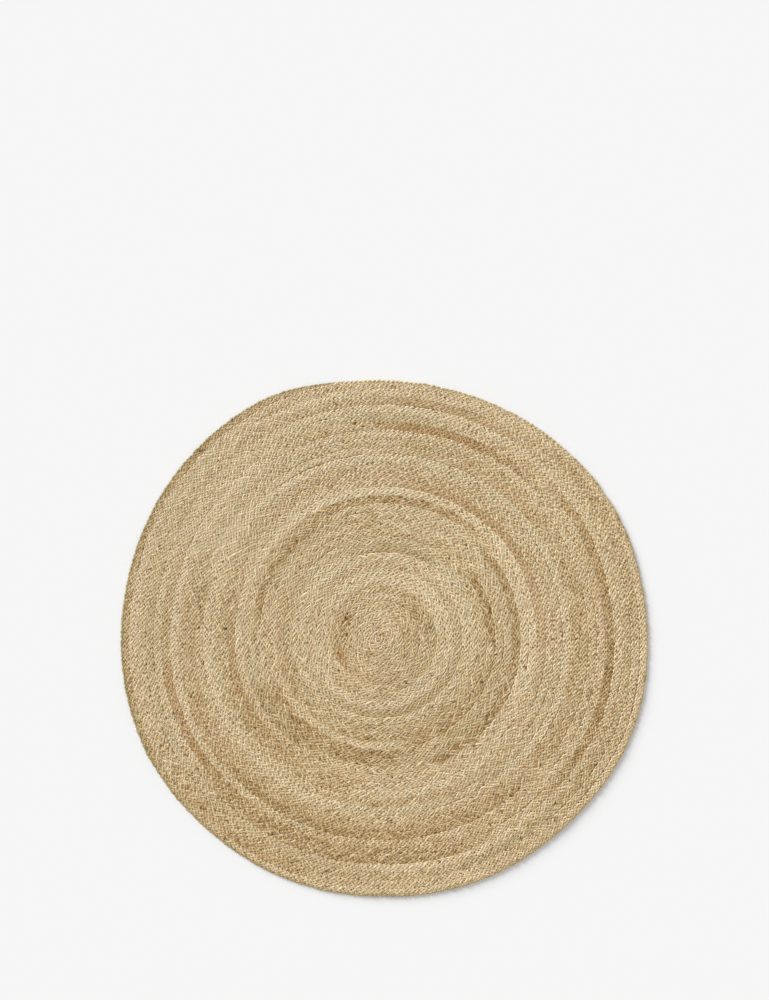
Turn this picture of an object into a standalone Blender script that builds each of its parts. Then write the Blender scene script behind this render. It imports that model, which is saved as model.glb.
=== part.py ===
"""A round jute rug, 1.2 m across: one long flat plait, coiled and sewn edge to edge.

The plait starts in the middle and winds outwards clockwise, as seen from above. Each row of
it stands up as a rounded rib, with the sewn seam as a valley on either side. The last row
narrows to a tail that lies against the row before it. The rug lies flat on its underside.

Metres, +Z up. The underside is at Z = 0, and the middle of the outline's box at X = Y = 0.
"""

import math
from collections import namedtuple

import bmesh
import bpy
from mathutils import Vector

# The coil
MEAN_RADIUS = 0.601  # from the coil's middle to the rim, on average round the rim
ROWS = 31.12  # turns of plait from its start to the end of its tail
START_ROWS = 0.30  # how far out the first turn starts, in row widths
TIGHTENING = 0.016  # how much narrower the innermost row is than the average, and the last wider
TAIL_ANGLE = math.radians(95)  # where the tail ends, anticlockwise from +X
TAIL_TAPER = math.radians(24)  # how much of the last turn narrows to the tail
DRIFT = Vector((0.0114, 0.0009))  # the rim's middle, measured from the coil's start

# The plait's section, which repeats from one sewn seam to the next
THICKNESS = 0.0090  # underside to the crown of a row
SEAM_HEIGHT = 0.0059  # underside to the bottom of the valley between two rows
CROWN_FROM, CROWN_TO = 0.27, 0.73  # the crown's two sides, in row widths from the inner seam

# The rim, as (how far in from the edge in row widths, height as a share of the thickness)
RimLine = namedtuple("RimLine", "inset height")
RIM_LINES = (
    RimLine(inset=0.13, height=0.80),
    RimLine(inset=0.00, height=0.50),
    RimLine(inset=0.10, height=0.20),
    RimLine(inset=0.26, height=0.00),
)

# How the outline swells and draws in: so many waves round it, how far, and one of the peaks
Wave = namedtuple("Wave", "count swell peak_deg")
WAVES = (
    Wave(count=2, swell=0.0046, peak_deg=-7),
    Wave(count=3, swell=0.0019, peak_deg=-9),
    Wave(count=4, swell=0.0017, peak_deg=35),
    Wave(count=5, swell=0.0017, peak_deg=-22),
    Wave(count=6, swell=0.0007, peak_deg=-22),
    Wave(count=7, swell=0.0009, peak_deg=-16),
    Wave(count=8, swell=0.0011, peak_deg=-22),
)

# The mesh: steps in one turn, and where the first turn's filling has its middle
STEPS = 56
HUB_ROWS = 0.20
HUB_ANGLE = math.radians(60)

# Worked out from the above
RIM_ROWS = ROWS + 0.5 + START_ROWS  # row widths from the coil's middle to the rim
LAST = round(ROWS * STEPS)  # the step at which the tail ends
TAPER_STEPS = TAIL_TAPER / (2 * math.pi) * STEPS


def angle_at(step):
    """The angle of a step of the plait, which winds outwards clockwise."""
    return TAIL_ANGLE + 2 * math.pi * (LAST - step) / STEPS


def coil_point(rows, angle, height):
    """The point so many row widths from the coil's middle, with the rug's own unevenness.

    The waves and the drift grow from nothing in the middle to their full size at the rim.
    """
    share = rows / RIM_ROWS
    outward = share * (1 - TIGHTENING * (1 - share))
    swell = sum(w.swell * math.cos(w.count * (angle - math.radians(w.peak_deg))) for w in WAVES)
    radius = outward * MEAN_RADIUS + swell * outward**2
    flat = DRIFT * outward + Vector((math.cos(angle), math.sin(angle))) * radius
    return Vector((flat.x, flat.y, height))


def width_at(step):
    """The row's width at a step, as a share of a full row: 1, but less along the tail."""
    left = min((LAST - step) / TAPER_STEPS, 1.0)
    return left * left * (3 - 2 * left)


def seam_rows(step):
    """How far out the row's inner seam lies at a step."""
    return START_ROWS + step / STEPS


def add_seams(bm):
    """The valley between neighbouring rows, from the start of the coil to the tail."""
    return [
        bm.verts.new(coil_point(seam_rows(step), angle_at(step), SEAM_HEIGHT))
        for step in range(LAST)
    ]


def add_crown_line(bm, share):
    """One side of the row's crown, at a share of the way across the row."""
    line = []
    for step in range(LAST):
        width = width_at(step)
        height = SEAM_HEIGHT + (THICKNESS - SEAM_HEIGHT) * math.sqrt(width)
        rows = seam_rows(step) + share * width
        line.append(bm.verts.new(coil_point(rows, angle_at(step), height)))
    return line


def add_rim(bm, line):
    """One line round the rim. It starts where the tail ends, and follows the last turn."""
    ring = [bm.verts.new(coil_point(seam_rows(LAST), TAIL_ANGLE, line.height * THICKNESS))]
    for step in range(LAST - STEPS + 1, LAST):
        rows = seam_rows(step) + width_at(step) * (1 - line.inset)
        ring.append(bm.verts.new(coil_point(rows, angle_at(step), line.height * THICKNESS)))
    return ring


def fill_top(bm, seams, crowns, shoulder):
    """The two slopes and the crown of every row, and the fan that closes the middle."""
    inner_crown, outer_crown = crowns

    def seam(step):
        return seams[step] if step < LAST else shoulder[(step - LAST) % STEPS]

    for step in range(LAST):
        here = (seam(step), inner_crown[step], outer_crown[step], seam(step + STEPS))
        if step < LAST - 1:
            after = step + 1
            there = (seam(after), inner_crown[after], outer_crown[after], seam(after + STEPS))
            for i in range(3):
                bm.faces.new((here[i], here[i + 1], there[i + 1], there[i]))
        else:  # all the lines run together where the tail ends
            for i in range(3):
                bm.faces.new((here[i], here[i + 1], seam(LAST)))

    hub = bm.verts.new(coil_point(HUB_ROWS, angle_at(0) + HUB_ANGLE, THICKNESS))
    start = [outer_crown[0], inner_crown[0]]
    edge = [*start, *(seam(step) for step in range(STEPS + 1))]
    for here, after in zip(edge, edge[1:] + edge[:1]):
        bm.faces.new((hub, here, after))


def fill_rim(bm, rings):
    """The rounded edge, from the shoulder down to the underside, and the underside."""
    for upper, lower in zip(rings, rings[1:]):
        for i in range(STEPS):
            after = (i + 1) % STEPS
            bm.faces.new((upper[i], lower[i], lower[after], upper[after]))
    bm.faces.new(rings[-1])


def centre(bm):
    """Moves the rug so that the middle of its outline's box is at X = Y = 0."""
    xs = [v.co.x for v in bm.verts]
    ys = [v.co.y for v in bm.verts]
    middle = Vector((min(xs) + max(xs), min(ys) + max(ys), 0)) / 2
    for v in bm.verts:
        v.co -= middle


def jute():
    """Undyed jute: a warm straw colour with no shine."""
    material = bpy.data.materials.new("jute")
    material.use_nodes = True
    shader = material.node_tree.nodes["Principled BSDF"]
    shader.inputs["Base Color"].default_value = (0.54, 0.40, 0.22, 1.0)
    shader.inputs["Roughness"].default_value = 0.9
    shader.inputs["Metallic"].default_value = 0.0
    return material


def braided_rug():
    """The whole rug as one closed body."""
    bm = bmesh.new()
    seams = add_seams(bm)
    crowns = [add_crown_line(bm, share) for share in (CROWN_FROM, CROWN_TO)]
    rings = [add_rim(bm, line) for line in RIM_LINES]
    fill_top(bm, seams, crowns, shoulder=rings[0])
    fill_rim(bm, rings)
    centre(bm)
    bmesh.ops.recalc_face_normals(bm, faces=bm.faces)
    mesh = bpy.data.meshes.new("braided_rug")
    bm.to_mesh(mesh)
    bm.free()
    mesh.shade_smooth()
    mesh.materials.append(jute())
    rug = bpy.data.objects.new("braided_rug", mesh)
    bpy.context.collection.objects.link(rug)
    return rug


for thing in list(bpy.data.objects):
    bpy.data.objects.remove(thing)
braided_rug()
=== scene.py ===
"""A round jute rug: one long flat plait, coiled from the middle outwards and sewn edge to edge.

Metres, +Z up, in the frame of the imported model. The rug lies on a pale floor in a plain studio,
and the camera looks straight down.
"""

import logging
import math
from dataclasses import dataclass, field
from enum import Enum
from functools import cached_property

import bpy
import numpy as np
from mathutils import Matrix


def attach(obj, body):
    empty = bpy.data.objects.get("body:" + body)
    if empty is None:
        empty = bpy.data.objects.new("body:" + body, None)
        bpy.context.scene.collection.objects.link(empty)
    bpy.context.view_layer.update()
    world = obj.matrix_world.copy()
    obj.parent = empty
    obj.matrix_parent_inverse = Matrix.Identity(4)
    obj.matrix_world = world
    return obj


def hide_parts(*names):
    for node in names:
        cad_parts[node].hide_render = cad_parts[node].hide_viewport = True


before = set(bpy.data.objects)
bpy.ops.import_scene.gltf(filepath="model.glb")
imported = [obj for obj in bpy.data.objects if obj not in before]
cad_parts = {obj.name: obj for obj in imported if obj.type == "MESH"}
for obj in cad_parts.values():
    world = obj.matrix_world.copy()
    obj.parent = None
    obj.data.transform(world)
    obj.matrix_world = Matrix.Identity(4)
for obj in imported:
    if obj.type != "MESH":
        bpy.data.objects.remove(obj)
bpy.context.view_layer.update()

BODY = "root"
RUG_NODE = "braided_rug"

# The photograph's frame, and what one of its pixels measures on the rug
PHOTO_WIDTH_PX, PHOTO_HEIGHT_PX = 769, 1000
RUG_MIDDLE_X_PX, RUG_MIDDLE_Y_PX = 384.5, 638.5
METRES_PER_PX = 0.002286

log = logging.getLogger("round_jute_rug")


# Small tools


def to_linear(hex_colour: str) -> tuple[float, float, float, float]:
    """Turns an sRGB colour into linear values.

    Args:
        hex_colour: the colour as "#RRGGBB".

    Returns:
        Linear red, green, blue, and an alpha of 1.
    """
    shares = [int(hex_colour[i : i + 2], 16) / 255 for i in (1, 3, 5)]
    linear = [s / 12.92 if s <= 0.04045 else ((s + 0.055) / 1.055) ** 2.4 for s in shares]
    return (*linear, 1.0)


def add_node(
    tree: bpy.types.NodeTree, kind: str, inputs: dict[str, object] | None = None, **settings: object
) -> bpy.types.Node:
    """Adds a node, with its settings and its links.

    Args:
        tree: the tree that the node joins.
        kind: the node's type, such as "TexNoise".
        inputs: by an input's name, either its value or the socket that is linked to it.
        settings: the node's own properties, by name.

    Returns:
        The new node.
    """
    node = tree.nodes.new("ShaderNode" + kind)
    for name, value in settings.items():
        setattr(node, name, value)
    for name, value in (inputs or {}).items():
        label, _, number = name.partition(":")
        found = [s for s in node.inputs if s.name == label and s.enabled]
        socket = found[int(number or 0)]
        if isinstance(value, bpy.types.NodeSocket):
            tree.links.new(value, socket)
        else:
            socket.default_value = value
    return node


def times_plus(
    tree: bpy.types.NodeTree, value: object, factor: object, rest: object
) -> bpy.types.NodeSocket:
    """The value times the factor, plus the rest, as the socket of a new node."""
    inputs = {"Value:0": value, "Value:1": factor, "Value:2": rest}
    return add_node(tree, "Math", inputs, operation="MULTIPLY_ADD").outputs["Value"]


def new_material(name: str) -> tuple[bpy.types.Material, bpy.types.NodeTree]:
    """Starts a material.

    Args:
        name: the material's name.

    Returns:
        The material, and its node tree, which is empty.
    """
    material = bpy.data.materials.new(name)
    material.use_nodes = True
    material.node_tree.nodes.clear()
    return material, material.node_tree


def wander(rng: np.random.Generator, count: int, step: float, size: float) -> np.ndarray:
    """A smooth random line about nought.

    Args:
        rng: where its free values come from.
        count: how many values it has.
        step: how many values lie from one free value to the next.
        size: the free values' standard deviation.

    Returns:
        The values.
    """
    knots = rng.normal(0.0, size, int(count / step) + 3)
    place = np.arange(count) / step
    before = place.astype(int)
    part = place - before
    part = part * part * (3 - 2 * part)
    return knots[before] * (1 - part) + knots[before + 1] * part


def unit(vectors: np.ndarray) -> np.ndarray:
    """The vectors, each at a length of 1."""
    return vectors / np.linalg.norm(vectors, axis=-1, keepdims=True)


def face_corners(
    left: np.ndarray, right: np.ndarray, low: np.ndarray, high: np.ndarray
) -> np.ndarray:
    """The corners of upright boxes on a map, anticlockwise from the lower left.

    Args:
        left, right: each box's two sides.
        low, high: each box's bottom and top.

    Returns:
        The corners, four to a box.
    """
    across = np.stack([left, right, right, left], axis=-1)
    upwards = np.stack([low, low, high, high], axis=-1)
    return np.stack([across, upwards], axis=-1).reshape(-1, 2)


# The coil that the plait follows


@dataclass(frozen=True)
class Wave:
    """One wave of the outline: how many lie round it, how far each swells, and one of the peaks."""

    count: int
    swell: float
    peak_deg: float


@dataclass
class Coil:
    """The line of the coiled plait, as the construction has it: it winds outwards clockwise."""

    mean_radius: float = 0.601
    turns: float = 31.12
    start_rows: float = 0.30
    tightening: float = 0.016
    tail_deg: float = 95.0
    taper_deg: float = 24.0
    drift: tuple[float, float] = (0.0114, 0.0009)
    waves: tuple[Wave, ...] = (
        Wave(count=2, swell=0.0046, peak_deg=-7),
        Wave(count=3, swell=0.0019, peak_deg=-9),
        Wave(count=4, swell=0.0017, peak_deg=35),
        Wave(count=5, swell=0.0017, peak_deg=-22),
        Wave(count=6, swell=0.0007, peak_deg=-22),
        Wave(count=7, swell=0.0009, peak_deg=-16),
        Wave(count=8, swell=0.0011, peak_deg=-22),
    )
    # Where the scene's plait begins, in turns before the first full row, and how it fills out
    lead_in: float = 0.72
    lead_in_taper: float = 0.40
    lead_in_share: float = 0.95

    @property
    def rim_rows(self) -> float:
        """How many rows lie between the coil's middle and the rim."""
        return self.turns + 0.5 + self.start_rows

    def pitch(self, rows: np.ndarray) -> np.ndarray:
        """One row's width so many rows out: the rows are a little wider near the rim."""
        share = rows / self.rim_rows
        return self.mean_radius / self.rim_rows * (1 - self.tightening * (1 - 2 * share))

    def angle(self, turn: np.ndarray) -> np.ndarray:
        """The angle at so many turns from the start, anticlockwise from +X."""
        return math.radians(self.tail_deg) + 2 * math.pi * (self.turns - turn)

    def share(self, turn: np.ndarray) -> np.ndarray:
        """The row's width as a share of a full row: less at the tail and at the very start.

        Args:
            turn: turns from the start of the first full row.

        Returns:
            The share at each of them.
        """
        left = np.clip((self.turns - turn) / (self.taper_deg / 360), 0, 1)
        tail = left * left * (3 - 2 * left)
        begun = np.clip((turn + self.lead_in) / self.lead_in_taper, 0, 1)
        return tail * (self.lead_in_share + (1 - self.lead_in_share) * begun)

    def raw_point(self, rows: np.ndarray, angle: np.ndarray) -> np.ndarray:
        """A point so many row widths out, before the outline's box is centred.

        Args:
            rows: row widths from the coil's middle.
            angle: the angle of each point.

        Returns:
            The points, as rows of X and Y.
        """
        share = rows / self.rim_rows
        outward = share * (1 - self.tightening * (1 - share))
        swell = sum(w.swell * np.cos(w.count * (angle - math.radians(w.peak_deg))) for w in self.waves)
        radius = outward * self.mean_radius + swell * outward**2
        x = self.drift[0] * outward + np.cos(angle) * radius
        y = self.drift[1] * outward + np.sin(angle) * radius
        return np.stack([x, y], axis=-1)

    @cached_property
    def middle(self) -> np.ndarray:
        """The middle of the outline's box, before it is centred.

        Returns:
            Its X and Y.
        """
        turn = np.linspace(self.turns - 1, self.turns, 721)
        rim = self.raw_point(self.start_rows + turn + self.share(turn), self.angle(turn))
        return (rim.min(axis=0) + rim.max(axis=0)) / 2

    def point(self, rows: np.ndarray, angle: np.ndarray) -> np.ndarray:
        """A point so many row widths out, with the outline's box centred on X = Y = 0.

        Args:
            rows: row widths from the coil's middle.
            angle: the angle of each point.

        Returns:
            The points, as rows of X and Y.
        """
        return self.raw_point(rows, angle) - self.middle

    def middle_rows(self, turn: np.ndarray) -> np.ndarray:
        """How far out the middle of the row lies, in row widths."""
        return self.start_rows + turn + 0.5 * np.clip(self.share(turn), 0, 1)

    def turn_at(self, rows: float, degrees: float) -> float:
        """The turn at which the plait passes a place.

        Args:
            rows: how far out the place lies, in row widths.
            degrees: where it lies, anticlockwise from +X.

        Returns:
            The turn of the nearest row.
        """
        part = self.turns - (degrees - self.tail_deg) / 360
        return part - round(part + self.start_rows + 0.5 - rows)


# Finishes


@dataclass(frozen=True)
class RettedJute:
    """Retted jute, undyed: bast fibre that was soaked out of the stem, combed and lightly twisted.

    That leaves long flat fibres side by side along the strand, with a faint gloss, and a colour
    that runs from pale straw to brown from one handful of stems to the next.
    """

    name: str = "retted_jute"
    pale: str = "#F4E4C3"
    straw: str = "#E5CFA4"
    golden: str = "#BF9C63"
    brown: str = "#75562F"
    rust: str = "#CAA26D"
    green: str = "#C6BF92"
    fibre_width_mm: float = 0.35
    fibre_length_mm: float = 8.0
    ply_width_mm: float = 2.0
    ply_length_mm: float = 9.0
    twist_deg: float = 12.0
    streak_roughness: float = 0.6
    # How much a fibre and a ply each change the tone, and where along it each colour lies
    fibre_weight: float = 0.50
    ply_weight: float = 1.0
    colour_at: tuple[float, ...] = (0.10, 0.40, 0.70, 1.0)
    roughness: float = 0.82
    diffuse_roughness: float = 1.0
    specular: float = 0.22
    bump_mm: float = 0.15
    # How many times as high as a fibre a ply stands
    ply_rise: float = 10.0

    def make(self) -> bpy.types.Material:
        """Builds the material. It reads the map "fibre", in metres, and the strands' own tints.

        Returns:
            The new material.
        """
        material, tree = new_material(self.name)
        along_around = add_node(tree, "UVMap", uv_map="fibre")
        split = add_node(tree, "SeparateXYZ", {"Vector": along_around.outputs["UV"]})
        along, around = split.outputs["X"], split.outputs["Y"]
        # The twist lays the fibres across the strand as they run along it
        twisted = times_plus(tree, along, math.tan(math.radians(self.twist_deg)), around)
        laid = add_node(tree, "CombineXYZ", {"X": along, "Y": twisted})

        def streaks(width_mm: float, length_mm: float, detail: float) -> bpy.types.NodeSocket:
            """Noise drawn out along the strand.

            Args:
                width_mm: how wide a streak is.
                length_mm: how long a streak is.
                detail: how many finer layers of noise lie in it.

            Returns:
                The socket that gives it, from nought to one.
            """
            scale = (1000 / length_mm, 1000 / width_mm, 1.0)
            scaled = add_node(
                tree, "VectorMath", {"Vector:0": laid.outputs["Vector"], "Vector:1": scale},
                operation="MULTIPLY",
            )
            noise = add_node(
                tree, "TexNoise",
                {"Vector": scaled.outputs["Vector"], "Scale": 1.0, "Detail": detail,
                 "Roughness": self.streak_roughness},
                noise_dimensions="2D",
            )
            return noise.outputs["Fac"]

        fibre = streaks(self.fibre_width_mm, self.fibre_length_mm, 1.0)
        ply = streaks(self.ply_width_mm, self.ply_length_mm, 2.0)
        tone = add_node(tree, "Attribute", attribute_name="tone")
        with_fibre = times_plus(tree, fibre, self.fibre_weight, tone.outputs["Fac"])
        with_ply = times_plus(tree, ply, self.ply_weight, with_fibre)
        ramp = add_node(tree, "ValToRGB", {"Fac": with_ply})
        stops = tuple(zip(self.colour_at, (self.pale, self.straw, self.golden, self.brown)))
        while len(ramp.color_ramp.elements) < len(stops):
            ramp.color_ramp.elements.new(0.5)
        for element, (place, colour) in zip(ramp.color_ramp.elements, stops):
            element.position = place
            element.color = to_linear(colour)
        colour = ramp.outputs["Color"]
        for name, tint in (("rust", self.rust), ("green", self.green)):
            amount = add_node(tree, "Attribute", attribute_name=name)
            mixed = add_node(
                tree, "Mix",
                {"Factor": amount.outputs["Fac"], "A": colour, "B": to_linear(tint)},
                data_type="RGBA",
            )
            colour = [s for s in mixed.outputs if s.enabled][0]
        height = times_plus(tree, ply, self.ply_rise, fibre)
        bump = add_node(
            tree, "Bump", {"Height": height, "Distance": self.bump_mm / 1000, "Strength": 1.0}
        )
        shader = add_node(
            tree, "BsdfPrincipled",
            {"Base Color": colour, "Roughness": self.roughness, "Specular IOR Level": self.specular,
             "Diffuse Roughness": self.diffuse_roughness, "Normal": bump.outputs["Normal"]},
        )
        add_node(tree, "OutputMaterial", {"Surface": shader.outputs["BSDF"]})
        return material


@dataclass(frozen=True)
class PressedJuteInShade:
    """The same jute where the strands' inner sides are pressed together, deep between the lobes.

    Little light gets there: its dull brown, without separate fibres, is painted shade, darker than the
    jute's own colour.
    """

    name: str = "pressed_jute_painted_shade"
    deep: str = "#93764A"
    raised: str = "#AC8F60"
    grain_mm: float = 2.5
    roughness: float = 0.95
    specular: float = 0.1
    bump_mm: float = 0.4

    def make(self) -> bpy.types.Material:
        """Builds the material, with a mottle the size of a strand's width.

        Returns:
            The new material.
        """
        material, tree = new_material(self.name)
        place = add_node(tree, "TexCoord")
        noise = add_node(
            tree, "TexNoise",
            {"Vector": place.outputs["Object"], "Scale": 1000 / self.grain_mm, "Detail": 2.0},
        )
        # Painted shade: the mottle is darker where it lies deeper and lighter where it is raised
        mixed = add_node(
            tree, "Mix",
            {"Factor": noise.outputs["Fac"], "A": to_linear(self.deep), "B": to_linear(self.raised)},
            data_type="RGBA",
        )
        bump = add_node(
            tree, "Bump",
            {"Height": noise.outputs["Fac"], "Distance": self.bump_mm / 1000},
        )
        shader = add_node(
            tree, "BsdfPrincipled",
            {"Base Color": [s for s in mixed.outputs if s.enabled][0], "Roughness": self.roughness,
             "Specular IOR Level": self.specular, "Normal": bump.outputs["Normal"]},
        )
        add_node(tree, "OutputMaterial", {"Surface": shader.outputs["BSDF"]})
        return material


@dataclass(frozen=True)
class MattPaint:
    """Matt white paint, rolled on: even and without any gloss."""

    name: str = "matt_paint"
    colour: str = "#F6F6F6"
    roughness: float = 1.0

    def make(self) -> bpy.types.Material:
        """Builds the material.

        Returns:
            The new material.
        """
        material, tree = new_material(self.name)
        shader = add_node(
            tree, "BsdfPrincipled",
            {"Base Color": to_linear(self.colour), "Roughness": self.roughness,
             "Specular IOR Level": 0.0},
        )
        add_node(tree, "OutputMaterial", {"Surface": shader.outputs["BSDF"]})
        return material


# Meshes


@dataclass
class Skin:
    """What a mesh is made from: its points and faces, its maps by corner and its tints by point."""

    points: np.ndarray
    quads: np.ndarray
    caps: list[list[int]] = field(default_factory=list)
    maps: dict[str, np.ndarray] = field(default_factory=dict)
    tints: dict[str, np.ndarray] = field(default_factory=dict)

    def make(self, name: str, material: bpy.types.Material) -> bpy.types.Object:
        """Builds the object.

        Args:
            name: the piece's name.
            material: its one material.

        Returns:
            The new object, in the scene.
        """
        mesh = bpy.data.meshes.new(name)
        mesh.from_pydata(self.points, [], [*self.quads.tolist(), *self.caps], shade_flat=False)
        if self.caps:
            flat = np.zeros(len(mesh.polygons), bool)
            flat[len(self.quads) :] = True
            mesh.attributes.new("sharp_face", "BOOLEAN", "FACE").data.foreach_set("value", flat)
        for map_name, corners in self.maps.items():
            layer = mesh.uv_layers.new(name=map_name)
            layer.data.foreach_set("uv", np.ascontiguousarray(corners, np.float32).ravel())
        for tint_name, values in self.tints.items():
            layer = mesh.attributes.new(tint_name, "FLOAT", "POINT")
            layer.data.foreach_set("value", np.ascontiguousarray(values, np.float32))
        mesh.materials.append(material)
        thing = bpy.data.objects.new(name, mesh)
        bpy.context.scene.collection.objects.link(thing)
        return thing


def dress(piece: bpy.types.Object) -> bpy.types.Object:
    """Makes a piece of the rug ride on its body and stand for the node, whose own part it hides.

    Args:
        piece: the piece.

    Returns:
        The same piece.
    """
    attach(piece, BODY)
    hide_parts(RUG_NODE)
    log.info("%s: %d faces", piece.name, len(piece.data.polygons))
    return piece


# The plait


class Tone(Enum):
    """What a bundle of stems can look like."""

    BROWN = "brown"
    RUST = "rust"
    GREEN = "green"
    PALE = "pale"


@dataclass(frozen=True)
class Stretch:
    """A stretch of plait of another tone: one row wide and brown, unless it says otherwise.

    It lies so many rows out, over so many rows, from one angle to another, anticlockwise from +X.
    """

    row: float
    from_deg: float
    to_deg: float
    strength: float
    rows: int = 1
    tone: Tone = Tone.BROWN


STRETCHES = (
    Stretch(row=26.7, from_deg=-50, to_deg=48, strength=0.60),
    Stretch(row=26.0, from_deg=36, to_deg=132, strength=0.60),
    Stretch(row=26.0, from_deg=58, to_deg=92, tone=Tone.RUST, strength=0.60),
    Stretch(row=26.7, from_deg=186, to_deg=220, tone=Tone.RUST, strength=0.45),
    Stretch(row=25.3, rows=2, from_deg=195, to_deg=290, strength=0.25),
    Stretch(row=27.3, from_deg=210, to_deg=304, strength=0.50),
    Stretch(row=23.1, from_deg=160, to_deg=180, strength=0.35),
    Stretch(row=19.6, from_deg=185, to_deg=266, strength=0.30),
    Stretch(row=18.1, from_deg=185, to_deg=268, strength=0.30),
    Stretch(row=16.6, from_deg=-18, to_deg=48, strength=0.60),
    Stretch(row=16.5, from_deg=36, to_deg=128, strength=0.45),
    Stretch(row=16.2, from_deg=112, to_deg=178, strength=0.40),
    Stretch(row=16.1, from_deg=192, to_deg=248, strength=0.50),
    Stretch(row=15.9, from_deg=282, to_deg=350, strength=0.50),
    Stretch(row=14.2, rows=2, from_deg=195, to_deg=288, strength=0.35),
    Stretch(row=12.8, from_deg=-8, to_deg=40, strength=0.40),
    Stretch(row=13.2, from_deg=278, to_deg=358, strength=0.40),
    Stretch(row=10.8, from_deg=52, to_deg=96, tone=Tone.RUST, strength=0.45),
    Stretch(row=10.6, from_deg=50, to_deg=124, strength=0.35),
    Stretch(row=6.2, from_deg=0, to_deg=26, tone=Tone.GREEN, strength=0.60),
    Stretch(row=5.1, from_deg=15, to_deg=66, strength=0.35),
    Stretch(row=4.9, from_deg=120, to_deg=166, strength=0.35),
    Stretch(row=4.4, from_deg=140, to_deg=180, strength=0.35),
    Stretch(row=5.7, from_deg=186, to_deg=220, tone=Tone.RUST, strength=0.50),
    Stretch(row=7.8, from_deg=210, to_deg=290, tone=Tone.RUST, strength=0.45),
    Stretch(row=6.3, from_deg=284, to_deg=310, tone=Tone.GREEN, strength=0.60),
    Stretch(row=2.3, from_deg=220, to_deg=248, strength=0.30),
    Stretch(row=30.7, from_deg=176, to_deg=254, strength=0.25),
    Stretch(row=31.5, from_deg=108, to_deg=250, strength=0.18),
    # These broad stretches over several rows make the lower half browner: partly the jute's own tone,
    # partly painted shade where the light falls off towards the lower right
    Stretch(row=28.4, rows=3, from_deg=195, to_deg=350, strength=0.28),
    Stretch(row=24.6, rows=4, from_deg=185, to_deg=410, strength=0.18),
    Stretch(row=21.0, rows=4, from_deg=190, to_deg=320, strength=0.12),
    Stretch(row=11.5, rows=8, from_deg=190, to_deg=340, strength=0.10),
    Stretch(row=9.3, rows=4, from_deg=170, to_deg=330, strength=0.12),
    Stretch(row=29.6, from_deg=284, to_deg=316, tone=Tone.GREEN, strength=0.45),
    Stretch(row=29.7, rows=2, from_deg=-4, to_deg=54, strength=0.25),
    # The pale stretches make the upper left paler: partly the jute's own tone, partly painted light on the
    # side that the key light comes from
    Stretch(row=18.0, rows=9, from_deg=80, to_deg=165, tone=Tone.PALE, strength=0.80),
    Stretch(row=27.3, rows=4, from_deg=54, to_deg=166, tone=Tone.PALE, strength=0.45),
    Stretch(row=10.0, rows=3, from_deg=110, to_deg=156, tone=Tone.PALE, strength=0.50),
    Stretch(row=3.0, rows=6, from_deg=84, to_deg=156, tone=Tone.PALE, strength=0.50),
    Stretch(row=2.4, from_deg=56, to_deg=184, tone=Tone.PALE, strength=0.50),
)


@dataclass(frozen=True)
class GapShade:
    """A gap between two lobes, shown as painted shade on the strands, by its place on the rug and its
    length along the row, in mm.
    """

    x_mm: float
    y_mm: float
    long_mm: float


GAP_SHADES = (
    GapShade(x_mm=-86, y_mm=8, long_mm=10),
    GapShade(x_mm=-81, y_mm=31, long_mm=5),
    GapShade(x_mm=106, y_mm=24, long_mm=6),
    GapShade(x_mm=102, y_mm=33, long_mm=4),
    GapShade(x_mm=51, y_mm=-99, long_mm=9),
    GapShade(x_mm=-397, y_mm=273, long_mm=6),
    GapShade(x_mm=-420, y_mm=74, long_mm=6),
    GapShade(x_mm=-362, y_mm=24, long_mm=5),
    GapShade(x_mm=-301, y_mm=429, long_mm=6),
    GapShade(x_mm=470, y_mm=319, long_mm=6),
    GapShade(x_mm=-67, y_mm=493, long_mm=8),
    GapShade(x_mm=321, y_mm=-65, long_mm=6),
    GapShade(x_mm=-557, y_mm=-218, long_mm=5),
    GapShade(x_mm=312, y_mm=-456, long_mm=5),
    GapShade(x_mm=-113, y_mm=415, long_mm=5),
    GapShade(x_mm=33, y_mm=420, long_mm=5),
    GapShade(x_mm=-109, y_mm=534, long_mm=5),
)


@dataclass
class Rings:
    """The strands' section rings: (strand, ring) arrays, all the way from the start to the tail."""

    centre: np.ndarray
    across: np.ndarray
    up: np.ndarray
    half_width: np.ndarray
    half_depth: np.ndarray
    phase: np.ndarray
    run: np.ndarray
    turn: np.ndarray


@dataclass(frozen=True)
class Drift:
    """How a thing wanders: over so many cycles of a strand, so far, and what doesn't show yet."""

    cycles: float
    size: float
    hidden: float = 0.0


@dataclass(frozen=True)
class HandWork:
    """How uneven the plaiting is."""

    row_side: Drift = Drift(cycles=0.75, size=0.0004)
    tightness: Drift = Drift(cycles=6.25, size=0.02)
    # Here and there the strands reach less far and the seam shows, as in the photo
    reach: Drift = Drift(cycles=3, size=0.05)
    phase: Drift = Drift(cycles=0.25, size=0.16)
    sway: Drift = Drift(cycles=0.25, size=0.06)
    lift: Drift = Drift(cycles=0.25, size=0.25)
    height: Drift = Drift(cycles=0.25, size=0.0004)
    thickness: Drift = Drift(cycles=0.2, size=0.12)
    slow_thickness: Drift = Drift(cycles=3, size=0.05)


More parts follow.
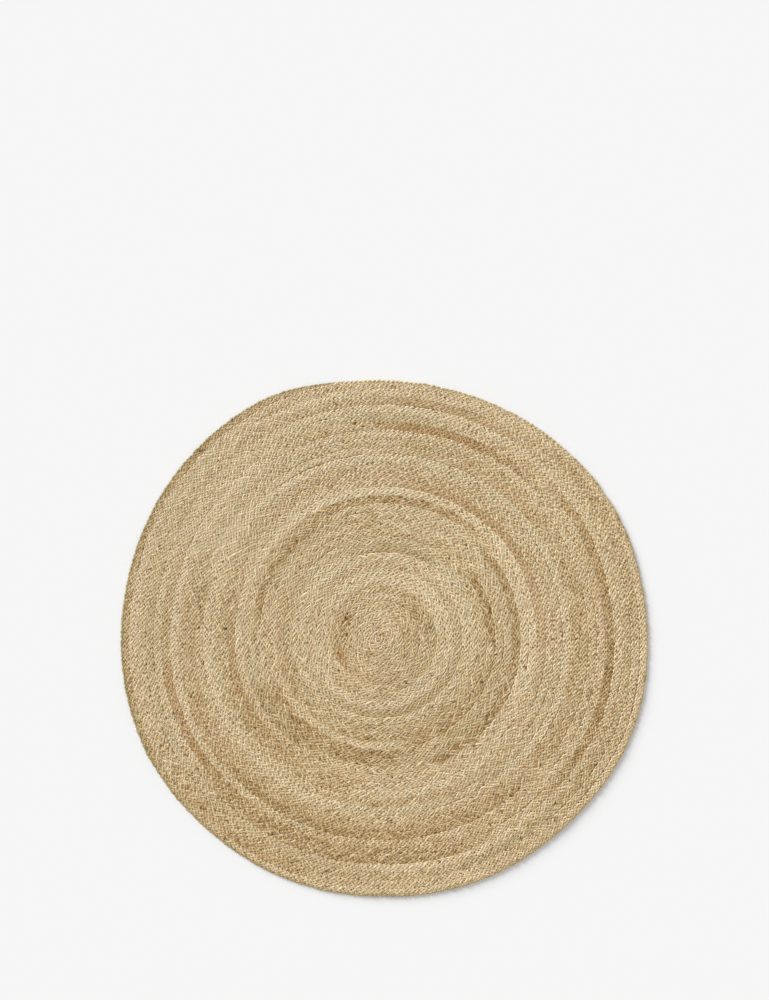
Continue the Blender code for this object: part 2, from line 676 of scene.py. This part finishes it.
@dataclass(frozen=True)
class Colouring:
    """How the tone and the tints change along the strands.

    The shared ones are alike on all the strands at that length of the plait.
    """

    base_tone: float = -0.50
    tone: tuple[Drift, ...] = (
        Drift(cycles=0.3, size=0.09), Drift(cycles=4.5, size=0.045), Drift(cycles=40, size=0.04)
    )
    shared_tone: tuple[Drift, ...] = (Drift(cycles=10, size=0.06), Drift(cycles=45, size=0.05))
    rust: tuple[Drift, ...] = (
        Drift(cycles=2.5, size=0.16, hidden=0.12), Drift(cycles=20, size=0.20, hidden=0.05)
    )
    green: tuple[Drift, ...] = (
        Drift(cycles=3, size=0.16, hidden=0.12), Drift(cycles=22.5, size=0.16, hidden=0.10)
    )
    shared_rust: Drift = Drift(cycles=8, size=0.18, hidden=0.06)
    shared_green: Drift = Drift(cycles=8, size=0.12, hidden=0.08)
    most_tint: float = 0.9
    green_from_turn: float = 1.0
    # Small dark flecks: the higher the power, the fewer there are
    fleck: float = 0.8
    fleck_power: int = 50
    # The last row's outer side, browner and greyer: partly its own colour, partly painted shade that holds
    # the lit rim down; and what its right has of what its left has
    rim_tone_and_painted_shade: float = 0.40
    rim_green_and_painted_shade: float = 0.55
    rim_right_share: float = 0.30
    # What a stretch of full strength adds, how its ends fade, and how the strands differ in it
    stretch_brown: float = 0.55
    # Pale stretches: partly the jute's own tone, partly painted light on the upper left
    stretch_pale_and_painted_light: float = -0.22
    stretch_rust: float = 0.8
    stretch_green: float = 0.5
    stretch_fade: float = 0.35
    stretch_least: float = 0.5
    stretch_most: float = 1.3
    # How dark the painted shade of a gap is, and how wide
    gap_painted_shade: float = 1.2
    gap_shade_half_width: float = 0.0022


@dataclass
class Plait:
    """Five strands plaited flat. Further out each passes over one other at a time.

    The photo doesn't show the strands singly: their number is read from the slant and the spacing
    of its lobes. Near the middle its strokes are longer and finer, and there a mix of over-one
    and over-two stands for them. The mix was chosen, and isn't a plaiting pattern.
    """

    coil: Coil
    jute: bpy.types.Material
    strands: int = 5
    rings_a_cycle: int = 20
    sides: int = 4
    lengths: int = 2
    samples: int = 60001
    # The row width that the strands' sizes are for
    full_row: float = 0.0190
    # The strands reach a little over the seam, because the photo shows hardly any dark line
    # between the rows. The last row's outer side is drawn in, to keep to the rug's outline
    sway: float = 0.0085
    rim_draw: float = 0.26
    last_row_from: float = 0.05
    lift: float = 0.0011
    half_width: float = 0.0029
    half_depth: float = 0.0030
    middle_height: float = 0.0045
    floor_gap: float = 0.0002
    # A strand's share of its size where the row has no width left
    slimmest: float = 0.25
    # The share of plain over-one plaiting near the middle, and where it grows to the whole
    over_one_inside: float = 0.55
    over_one_from: float = 0.33
    over_one_to: float = 0.37
    # How much a strand's section swings between wide and deep, four times a cycle; how straight
    # its way across the row is; how sharply it comes up and dives; and how much longer it is up
    press: float = 0.09
    straightness: float = 0.985
    squareness: float = 1.5
    top_share: float = 0.35
    # One full cycle of a strand, along the row, by how far out the row lies
    cycle_at: tuple[float, ...] = (0.09, 0.16, 0.32, 0.36, 0.60)
    cycle: tuple[float, ...] = (0.0575, 0.0600, 0.0600, 0.0542, 0.0520)
    # How far apart two strands lie on the fibre map, so that their fibres differ
    map_apart: float = 3.0
    uneven: HandWork = HandWork()
    colouring: Colouring = Colouring()
    seed: int = 11

    @property
    def girth(self) -> float:
        """About how far it is round a strand."""
        return math.pi * (self.half_width + self.half_depth)

    def last_row(self, turn: np.ndarray) -> np.ndarray:
        """Nought on every row but the last, where it soon comes to one."""
        return np.clip((turn - self.coil.turns + 1) / self.last_row_from, 0, 1)

    def drifting(self, rng: np.random.Generator, count: int, drift: Drift) -> np.ndarray:
        """One smooth random line along the plait."""
        return wander(rng, count, self.rings_a_cycle * drift.cycles, drift.size)

    def line(self) -> dict[str, np.ndarray]:
        """The plait's middle line, at each ring.

        Returns:
            Turn, point, outward direction and phase, by name.
        """
        turn = np.linspace(-self.coil.lead_in, self.coil.turns, self.samples)
        flat = self.coil.point(self.coil.middle_rows(turn), self.coil.angle(turn))
        step = np.linalg.norm(np.diff(flat, axis=0), axis=1)
        run = np.concatenate([[0], np.cumsum(step)])
        out = self.coil.middle_rows(turn) / self.coil.rim_rows * self.coil.mean_radius
        cycle = np.interp(out, self.cycle_at, self.cycle)
        pace = 2 * math.pi / cycle
        phase = np.concatenate([[0], np.cumsum((pace[1:] + pace[:-1]) / 2 * step)])
        count = int(phase[-1] / (2 * math.pi) * self.rings_a_cycle)
        wanted = np.arange(count + 1) * 2 * math.pi / self.rings_a_cycle
        at = np.interp(wanted, phase, turn)
        place = np.stack([np.interp(wanted, phase, flat[:, i]) for i in (0, 1)], axis=-1)
        ahead = unit(np.stack([np.interp(wanted, phase, np.gradient(flat[:, i])) for i in (0, 1)], axis=-1))
        outward = np.stack([-ahead[:, 1], ahead[:, 0]], axis=-1)
        return {"turn": at, "place": place, "outward": outward, "phase": wanted}

    def lay(self) -> Rings:
        """Lays the strands over and under each other, with a hand's unevenness.

        Returns:
            The section rings of every strand.
        """
        rng = np.random.default_rng(self.seed)
        line = self.line()
        count = len(line["turn"])
        far = self.coil.middle_rows(line["turn"]) / self.coil.rim_rows * self.coil.mean_radius
        over_one = np.interp(far, (self.over_one_from, self.over_one_to), (self.over_one_inside, 1.0))
        share = self.coil.share(line["turn"])
        wide = share * self.coil.pitch(self.coil.middle_rows(line["turn"])) / self.full_row
        on_rim = self.last_row(line["turn"])
        wobble = self.drifting(rng, count, self.uneven.row_side)
        tight = 1 + self.drifting(rng, count, self.uneven.tightness)
        reach = tight + self.drifting(rng, count, self.uneven.reach)
        out = np.array([*line["outward"].T, np.zeros(count)]).T
        base = np.array([*line["place"].T, np.zeros(count)]).T
        found: dict[str, list[np.ndarray]] = {n: [] for n in Rings.__dataclass_fields__}
        for strand in range(self.strands):
            phase = line["phase"] + 2 * math.pi * strand / self.strands
            shaken = phase + self.drifting(rng, count, self.uneven.phase)
            sway = self.sway * (reach + self.drifting(rng, count, self.uneven.sway))
            lift = self.lift * (1 + self.drifting(rng, count, self.uneven.lift))
            heave = self.drifting(rng, count, self.uneven.height)
            thick = tight + self.drifting(rng, count, self.uneven.thickness)
            thick += self.drifting(rng, count, self.uneven.slow_thickness)
            rhythm = -(1 - over_one) * np.sin(2 * shaken) - over_one * np.sin(4 * shaken)
            over = np.tanh(self.squareness * (rhythm + self.top_share))
            swing = np.arcsin(self.straightness * np.sin(shaken)) / math.asin(self.straightness)
            side = (sway * swing + wobble) * wide
            side = np.where(side > 0, side * (1 - self.rim_draw * on_rim), side)
            height = self.middle_height + lift * over * np.sqrt(share) + heave * share
            centre = base + out * side[:, None]
            centre[:, 2] = height
            ahead = unit(np.gradient(centre, axis=0))
            across = unit(np.stack([-ahead[:, 1], ahead[:, 0], np.zeros(count)], axis=-1))
            pressed = 2 * np.sin(2 * phase) ** 2 - 1
            size = thick * (self.slimmest + (1 - self.slimmest) * wide)
            found["centre"].append(centre)
            found["across"].append(across)
            found["up"].append(np.cross(ahead, across))
            found["half_width"].append(self.half_width * size * (1 + self.press * pressed))
            found["half_depth"].append(self.half_depth * np.sqrt(size) * (1 - self.press * pressed))
            found["phase"].append(phase)
            steps = np.linalg.norm(np.diff(centre, axis=0), axis=1)
            found["run"].append(np.concatenate([[0], np.cumsum(steps)]))
            found["turn"].append(line["turn"])
        return Rings(**{name: np.array(lines) for name, lines in found.items()})

    def tints(self, rings: Rings) -> dict[str, np.ndarray]:
        """Each ring's tints.

        Args:
            rings: the strands' rings.

        Returns:
            By name, an array of (strand, ring).
        """
        rng = np.random.default_rng(self.seed + 1)
        strands, count = rings.phase.shape
        look = self.colouring

        def shared(drift: Drift) -> np.ndarray:
            """One smooth random line for all the strands."""
            return self.drifting(rng, count, drift)

        def single(drift: Drift) -> np.ndarray:
            """One smooth random line for each strand."""
            return np.array([shared(drift) for _ in range(strands)])

        def showing(line: np.ndarray, drift: Drift) -> np.ndarray:
            """What shows of a tint's line."""
            return np.clip(line - drift.hidden, 0, 1)

        alike = sum(shared(drift) for drift in look.shared_tone)
        flecks = rng.random((strands, count)) ** look.fleck_power
        tone = look.base_tone + sum(single(drift) for drift in look.tone)
        tone += alike + look.fleck * flecks
        rust = sum(showing(single(drift), drift) for drift in look.rust)
        green = sum(showing(single(drift), drift) for drift in look.green)
        rust += showing(shared(look.shared_rust), look.shared_rust)
        green += showing(shared(look.shared_green), look.shared_green)
        # The first turns are pale straw in the photo, with no green
        green *= np.clip(rings.turn - look.green_from_turn, 0, 1)
        # The rim is greyer and browner on its left, and is made most so there and a little all round:
        # partly its own colour, partly painted shade that holds down the rim where the key light strikes it
        leftness = (1 - np.cos(self.coil.angle(rings.turn))) / 2
        rim = self.last_row(rings.turn) * np.clip(np.sin(rings.phase), 0, 1)
        rim *= look.rim_right_share + (1 - look.rim_right_share) * leftness
        tone += look.rim_tone_and_painted_shade * rim
        green += look.rim_green_and_painted_shade * rim
        into = {
            Tone.BROWN: (tone, look.stretch_brown),
            Tone.PALE: (tone, look.stretch_pale_and_painted_light),
            Tone.RUST: (rust, look.stretch_rust),
            Tone.GREEN: (green, look.stretch_green),
        }
        for stretch in STRETCHES:
            amounts, strength = into[stretch.tone]
            for row in range(stretch.rows):
                middle_deg = (stretch.from_deg + stretch.to_deg) / 2
                turn = self.coil.turn_at(stretch.row + row, middle_deg)
                reach = (stretch.to_deg - stretch.from_deg) / 720
                inside = np.clip((1 - np.abs(rings.turn - turn) / reach) / look.stretch_fade, 0, 1)
                own = rng.uniform(look.stretch_least, look.stretch_most, strands)[:, None]
                amounts += strength * stretch.strength * inside * own
        # Painted shade: the strands are darkened where a gap between two lobes shows
        for gap in GAP_SHADES:
            away = rings.centre[..., :2] - np.array([gap.x_mm, gap.y_mm]) / 1000
            row_way = unit(rings.centre[0, :, :2] @ np.array([[0, 1], [-1, 0]]))
            along = (away * row_way[None]).sum(axis=-1)
            beside = np.sqrt(np.maximum((away**2).sum(axis=-1) - along**2, 0))
            lengthwise = (2 * along / gap.long_mm * 1000) ** 2
            crosswise = (beside / look.gap_shade_half_width) ** 2
            tone += look.gap_painted_shade * np.exp(-lengthwise - crosswise)
        rust, green = (np.clip(tint, 0, look.most_tint) for tint in (rust, green))
        return {"tone": tone, "rust": rust, "green": green}

    def skin(self, rings: Rings, strand: int, part: slice, tints: dict[str, np.ndarray]) -> Skin:
        """The skin of one stretch of one strand.

        Args:
            rings: the strands' rings.
            strand: which strand.
            part: which of its rings.
            tints: the rings' tints.

        Returns:
            A closed tube, flattened where it meets the floor.
        """
        turn = 2 * math.pi * np.arange(self.sides) / self.sides
        wide = rings.half_width[strand, part, None, None] * np.cos(turn)[None, :, None]
        deep = rings.half_depth[strand, part, None, None] * np.sin(turn)[None, :, None]
        points = (
            rings.centre[strand, part, None, :]
            + rings.across[strand, part, None, :] * wide
            + rings.up[strand, part, None, :] * deep
        )
        points[..., 2] = np.maximum(points[..., 2], self.floor_gap)
        count = points.shape[0]
        ring, side = np.meshgrid(np.arange(count - 1), np.arange(self.sides), indexing="ij")
        after = (side + 1) % self.sides
        quads = np.stack(
            [
                ring * self.sides + side,
                ring * self.sides + after,
                (ring + 1) * self.sides + after,
                (ring + 1) * self.sides + side,
            ],
            axis=-1,
        ).reshape(-1, 4)
        last = (count - 1) * self.sides
        caps = [list(range(self.sides))[::-1], list(range(last, last + self.sides))]
        return Skin(
            points=points.reshape(-1, 3),
            quads=quads,
            caps=caps,
            maps={
                "fibre": self.fibre_map(rings.run[strand, part], strand),
                "OFBake": self.flat_map(rings.run[strand, part]),
            },
            tints={n: np.repeat(v[strand, part], self.sides) for n, v in tints.items()},
        )

    def fibre_map(self, run: np.ndarray, strand: int) -> np.ndarray:
        """The map in metres: how far along the strand, and how far round it.

        Args:
            run: how far along the strand each ring lies.
            strand: which strand.

        Returns:
            The map by corner, with the two end faces last.
        """
        ring, side = np.meshgrid(np.arange(len(run) - 1), np.arange(self.sides), indexing="ij")
        one = self.girth / self.sides
        corners = face_corners(side * one, (side + 1) * one, run[ring], run[ring + 1])[:, ::-1]
        ends = np.zeros((2 * self.sides, 2))
        return np.concatenate([corners + [0, strand * self.map_apart], ends])

    def flat_map(self, run: np.ndarray) -> np.ndarray:
        """The map that holds every face once: the strand cut into columns, side by side.

        Args:
            run: how far along the strand each ring lies.

        Returns:
            The map by corner, with the two end faces last.
        """
        columns = max(1, round(math.sqrt((run[-1] - run[0]) / self.girth)))
        tall = math.ceil((len(run) - 1) / columns)
        ring, side = np.meshgrid(np.arange(len(run) - 1), np.arange(self.sides), indexing="ij")
        column, row = ring // tall, ring % tall
        # The columns stand a little apart, and the two end faces lie in the strip above them
        edge, lid = 0.05, 0.985
        end_size, end_level = 0.004, 0.9935
        end_at = (0.01, 0.03)
        left = (column + edge + (1 - 2 * edge) * side / self.sides) / columns
        right = (column + edge + (1 - 2 * edge) * (side + 1) / self.sides) / columns
        low, high = row / tall * lid, (row + 1) / tall * lid
        corners = face_corners(left, right, low, high)
        turn = 2 * math.pi * np.arange(self.sides) / self.sides
        round_end = np.stack([np.cos(turn), np.sin(turn)], axis=-1) * end_size
        ends = [round_end[::-1] + [end_at[0], end_level], round_end + [end_at[1], end_level]]
        return np.concatenate([corners, *ends])

    def build(self) -> tuple[list[bpy.types.Object], Rings]:
        """Builds and dresses every length of every strand.

        Returns:
            The pieces, and the rings that they were made from.
        """
        rings = self.lay()
        tints = self.tints(rings)
        count = rings.phase.shape[1]
        cuts = np.linspace(0, count - 1, self.lengths + 1).astype(int)
        pieces = []
        for strand in range(self.strands):
            for number, (start, end) in enumerate(zip(cuts, cuts[1:])):
                skin = self.skin(rings, strand, slice(start, end + 1), tints)
                piece = skin.make(f"strand_{strand + 1}_length_{number + 1}", self.jute)
                pieces.append(dress(piece))
        return pieces, rings


@dataclass
class Ground:
    """A flat body halfway down, for the strands' inner sides, which show deep between the lobes. Its dull
    brown finish is painted shade.
    """

    coil: Coil
    jute: bpy.types.Material
    steps: int = 180
    bands: int = 8
    past_tail_deg: float = 0.5
    inset_rows: float = 0.30
    low: float = 0.0038
    high: float = 0.0052

    def rim_rows(self, angle: np.ndarray) -> np.ndarray:
        """How far out the edge lies at each angle.

        Args:
            angle: anticlockwise from +X.

        Returns:
            Row widths from the coil's middle.
        """
        back = np.mod(angle - math.radians(self.coil.tail_deg), 2 * math.pi) / (2 * math.pi)
        turn = self.coil.turns - back
        return self.coil.start_rows + turn + self.coil.share(turn) - self.inset_rows

    def build(self) -> bpy.types.Object:
        """Builds the flat closed body.

        Returns:
            The piece.
        """
        start = math.radians(self.coil.tail_deg + self.past_tail_deg)
        angle = 2 * math.pi * np.arange(self.steps) / self.steps + start
        rim = self.rim_rows(angle)
        points: list[np.ndarray] = []
        for height in (self.high, self.low):
            for band in range(1, self.bands + 1):
                flat = self.coil.point(rim * band / self.bands, angle)
                points.append(np.column_stack([flat, np.full(self.steps, height)]))
        middle = self.coil.point(np.zeros(1), np.zeros(1))[0]
        points.append(np.array([[*middle, self.high], [*middle, self.low]]))
        here = np.arange(self.steps)
        after = (here + 1) % self.steps
        quads = []
        for band in range(self.bands - 1):
            inner, outer = band * self.steps, (band + 1) * self.steps
            quads.append(np.stack([inner + here, outer + here, outer + after, inner + after], axis=-1))
            inner, outer = inner + self.bands * self.steps, outer + self.bands * self.steps
            quads.append(np.stack([inner + after, outer + after, outer + here, inner + here], axis=-1))
        top, bottom = (self.bands - 1) * self.steps, (2 * self.bands - 1) * self.steps
        quads.append(np.stack([top + here, bottom + here, bottom + after, top + after], axis=-1))
        hub = 2 * self.bands * self.steps
        caps = [[hub, int(i), int(j)] for i, j in zip(here, after)]
        under = self.bands * self.steps
        caps += [[hub + 1, under + int(j), under + int(i)] for i, j in zip(here, after)]
        skin = Skin(points=np.concatenate(points), quads=np.concatenate(quads), caps=caps)
        return dress(skin.make("plait_ground", self.jute))


@dataclass
class LooseFibres:
    """Fibres that stand off the strands, as they do on any jute plait."""

    coil: Coil
    jute: bpy.types.Material
    count: int = 3200
    segments: int = 5
    sides: int = 3
    shortest: float = 0.006
    longest: float = 0.022
    half_width: float = 0.00008
    thinnest: float = 0.6
    thickest: float = 1.3
    taper: float = 0.55
    # They start on the raised parts of the strands, just under the surface, clear of the ends
    start_above: float = 0.0048
    start_depth_share: float = 0.93
    rings_from_ends: int = 20
    rise: float = 0.0009
    least_rise: float = 0.0001
    bend: float = 0.5
    curl: float = 0.18
    tone: float = -0.45
    tone_spread: float = 0.12
    map_width: float = 0.0002
    seed: int = 23

    def build(self, rings: Rings) -> bpy.types.Object:
        """Builds every fibre as a thin curved tube, all in one piece.

        Args:
            rings: the strands' rings, where the fibres start.

        Returns:
            The piece.
        """
        rng = np.random.default_rng(self.seed)
        strand = rng.integers(0, rings.phase.shape[0], self.count * 3)
        ends = self.rings_from_ends
        ring = rng.integers(ends, rings.phase.shape[1] - ends, self.count * 3)
        on_top = rings.centre[strand, ring, 2] > self.start_above
        strand, ring = strand[on_top][: self.count], ring[on_top][: self.count]
        count = len(strand)
        up_by = rings.half_depth[strand, ring] * self.start_depth_share
        start = rings.centre[strand, ring] + rings.up[strand, ring] * up_by[:, None]
        way = rings.centre[strand, ring + 2] - rings.centre[strand, ring]
        way[:, 2] = 0
        way = unit(way)
        bend = rng.normal(0, self.bend, count)
        way = np.stack(
            [
                way[:, 0] * np.cos(bend) - way[:, 1] * np.sin(bend),
                way[:, 0] * np.sin(bend) + way[:, 1] * np.cos(bend),
                np.zeros(count),
            ],
            axis=-1,
        )
        aside = np.stack([-way[:, 1], way[:, 0], np.zeros(count)], axis=-1)
        length = rng.uniform(self.shortest, self.longest, count)
        curl = rng.normal(0, self.curl, count) * length
        rise = np.abs(rng.normal(0, self.rise, count)) + self.least_rise
        along = np.linspace(0, 1, self.segments + 1)
        spine = (
            start[:, None, :]
            + way[:, None, :] * (length[:, None] * along)[..., None]
            + aside[:, None, :] * (curl[:, None] * np.sin(math.pi * along))[..., None]
        )
        spine[..., 2] += rise[:, None] * 4 * along * (1 - along)
        stoutness = rng.uniform(self.thinnest, self.thickest, count)
        thick = self.half_width * stoutness[:, None] * (1 - self.taper * along)
        turn = 2 * math.pi * np.arange(self.sides) / self.sides
        points = (
            spine[:, :, None, :]
            + aside[:, None, None, :] * (thick[..., None] * np.cos(turn))[..., None]
            + np.array([0, 0, 1.0]) * (thick[..., None] * np.sin(turn))[..., None]
        )
        rings_each = self.segments + 1
        fibre, seg, side = np.meshgrid(
            np.arange(count), np.arange(self.segments), np.arange(self.sides), indexing="ij"
        )
        after = (side + 1) % self.sides
        base = (fibre * rings_each + seg) * self.sides
        quads = np.stack(
            [base + side, base + self.sides + side, base + self.sides + after, base + after], axis=-1
        ).reshape(-1, 4)
        first = np.arange(count) * rings_each * self.sides
        last = first + self.segments * self.sides
        caps = [[int(f), int(f) + 1, int(f) + 2] for f in first]
        caps += [[int(f) + 2, int(f) + 1, int(f)] for f in last]
        run = along[None, :] * length[:, None]
        low, high = side * self.map_width, (side + 1) * self.map_width
        corners = face_corners(run[fibre, seg], run[fibre, seg + 1], low, high)
        tone = np.repeat(rng.normal(self.tone, self.tone_spread, count), rings_each * self.sides)
        skin = Skin(
            points=points.reshape(-1, 3),
            quads=quads,
            caps=caps,
            maps={"fibre": np.concatenate([corners, np.zeros((count * 2 * self.sides, 2))])},
            tints={"tone": tone, "rust": np.zeros(len(tone)), "green": np.zeros(len(tone))},
        )
        return dress(skin.make("loose_fibres", self.jute))


# The studio


@dataclass
class Studio:
    """A pale floor, one broad soft light from the upper left, even light all round, and a camera."""

    camera_height: float = 6.0
    film: float = 0.036
    floor_size: float = 120.0
    key_from_deg: float = 137.0
    key_height_deg: float = 24.0
    key_spread_deg: float = 30.0
    key_share: float = 0.45
    # How bright the studio is where the camera sees it past the floor
    backdrop: float = 0.92

    def build_floor(self) -> None:
        """Lays the floor."""
        half = self.floor_size / 2
        points = np.array([[-half, -half, 0], [half, -half, 0], [half, half, 0], [-half, half, 0]])
        skin = Skin(points=points, quads=np.array([[0, 1, 2, 3]]))
        skin.make("floor", MattPaint().make())
        log.info("floor: laid")

    def build_lights(self) -> None:
        """Hangs the key light, and fills the studio with even light."""
        lamp = bpy.data.lights.new("key", "SUN")
        lamp.energy = self.key_share * math.pi / math.sin(math.radians(self.key_height_deg))
        lamp.angle = math.radians(self.key_spread_deg)
        key = bpy.data.objects.new("key", lamp)
        key.rotation_euler = (
            math.radians(90 - self.key_height_deg),
            0,
            math.radians(self.key_from_deg + 90),
        )
        bpy.context.scene.collection.objects.link(key)
        world = bpy.data.worlds.new("studio")
        world.use_nodes = True
        tree = world.node_tree
        tree.nodes.clear()
        path = add_node(tree, "LightPath")
        strength = add_node(
            tree, "MapRange",
            {"Value": path.outputs["Is Camera Ray"], "To Min": 1 - self.key_share,
             "To Max": self.backdrop},
        )
        light = add_node(
            tree, "Background", {"Color": (1, 1, 1, 1), "Strength": strength.outputs["Result"]}
        )
        add_node(tree, "OutputWorld", {"Surface": light.outputs["Background"]})
        bpy.context.scene.world = world

    def build_camera(self) -> None:
        """Sets the camera over the photograph's middle, with the photograph's field of view."""
        data = bpy.data.cameras.new("camera")
        seen = PHOTO_HEIGHT_PX * METRES_PER_PX
        data.lens = self.film * 1000 * self.camera_height / seen
        data.sensor_width = self.film * 1000
        camera = bpy.data.objects.new("camera", data)
        camera.location = (
            (PHOTO_WIDTH_PX / 2 - RUG_MIDDLE_X_PX) * METRES_PER_PX,
            (RUG_MIDDLE_Y_PX - PHOTO_HEIGHT_PX / 2) * METRES_PER_PX,
            self.camera_height,
        )
        bpy.context.scene.collection.objects.link(camera)
        bpy.context.scene.camera = camera

    def build(self) -> None:
        """Builds the floor, the lights and the camera."""
        self.build_floor()
        self.build_lights()
        self.build_camera()
        bpy.context.scene.view_settings.view_transform = "Standard"


def main() -> None:
    """Builds the studio and the rug."""
    logging.basicConfig(level=logging.INFO, format="%(message)s")
    Studio().build()
    coil = Coil()
    jute = RettedJute().make()
    strands, rings = Plait(coil, jute).build()
    ground = Ground(coil, PressedJuteInShade().make()).build()
    fibres = LooseFibres(coil, jute).build(rings)


if __name__ == "__main__":
    main()
